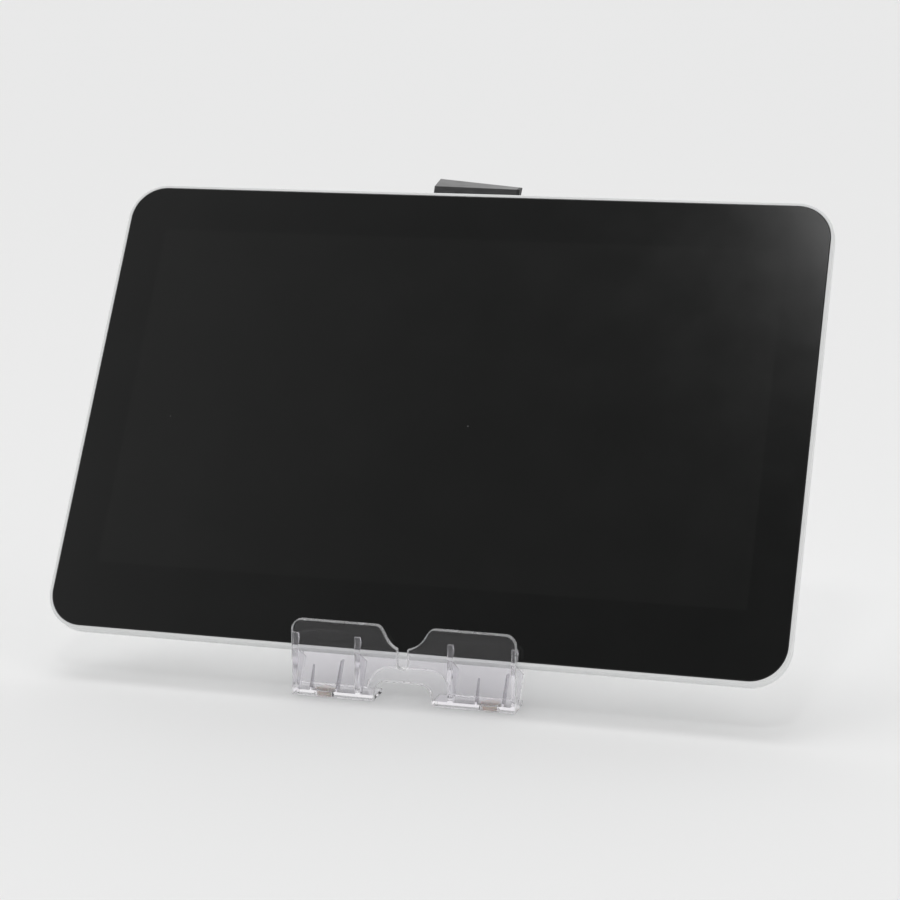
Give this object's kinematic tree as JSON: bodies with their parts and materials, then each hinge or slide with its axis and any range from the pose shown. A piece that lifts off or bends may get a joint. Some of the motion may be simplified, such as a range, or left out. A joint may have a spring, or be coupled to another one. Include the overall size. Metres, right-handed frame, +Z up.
{
  "type": "smart display",
  "caption": "Slim touch and pen display with a white rim and black anti-glare glass, leaning on a clear folding easel stand.",
  "frame": {"origin": "below the middle of the whole object, on the surface it stands on", "axes": "+X to the right of someone facing the screen, -Y towards them, +Z up; the screen leans back 32 degrees from upright"},
  "size_m": [0.3346, 0.139, 0.2127],
  "materials": {
    "cover_glass": "anti-glare etched black-backed glass",
    "white_plastic": "fine satin moulded",
    "dark_plastic": "matte",
    "loop_band": "smooth folded band",
    "rubber": "matte",
    "amber_pad": "soft, slightly cloudy",
    "film": "glossy film",
    "board": "solder-resist gloss",
    "steel": "plain sheet",
    "flex": "polyimide flex",
    "clear_plastic": "clear polished moulding"
  },
  "bodies": {
    "stand": {"stand_cradle": "clear_plastic", "stand_pad_left": "amber_pad", "stand_pad_right": "amber_pad", "stand_back_plate": "clear_plastic", "strut_hinge_pin": "steel"},
    "strut": {"rear_strut": "clear_plastic", "strut_foot_pad": "rubber"},
    "display": {"cover_glass": "cover_glass", "glass_gasket": "dark_plastic", "front_frame": "white_plastic", "touch_sensor": "film", "lcd_panel": "film", "backlight_unit": "dark_plastic", "backlight_led_bar": "steel", "pen_sensor_board": "board", "shield_plate": "steel", "main_board": "board", "main_board_can": "steel", "lcd_driver_board": "board", "lcd_flex_cable": "flex", "board_link_cable": "flex", "usb_c_port_1": "steel", "usb_c_port_2": "steel", "rear_cover": "white_plastic", "cover_screw_1": "steel", "cover_screw_2": "steel", "cover_screw_3": "steel", "cover_screw_4": "steel", "rubber_foot_1": "rubber", "rubber_foot_2": "rubber", "rubber_foot_3": "rubber", "rubber_foot_4": "rubber", "status_light": "film", "pen_loop": "loop_band"},
    "power_button": {"power_button": "white_plastic"},
    "touch_switch": {"touch_switch": "dark_plastic"}
  },
  "joints": [
    {"name": "strut_fold", "type": "hinge", "parent": "stand", "child": "strut", "pos_m": [0.0027, 0.01314, 0.11299], "axis": [-1, 0, 0], "range_deg": [0, 46]},
    {"name": "lift_out", "type": "slide", "parent": "stand", "child": "display", "axis": [0, 0.529, 0.8486], "range_m": [0, 0.16]},
    {"name": "power_press", "type": "slide", "parent": "display", "child": "power_button", "axis": [0, -0.529, -0.8486], "range_m": [0, 0.0005], "stiffness_N_per_m": 1500},
    {"name": "touch_slide", "type": "slide", "parent": "display", "child": "touch_switch", "axis": [1, 0, 0], "range_m": [0, 0.003]}
  ]
}
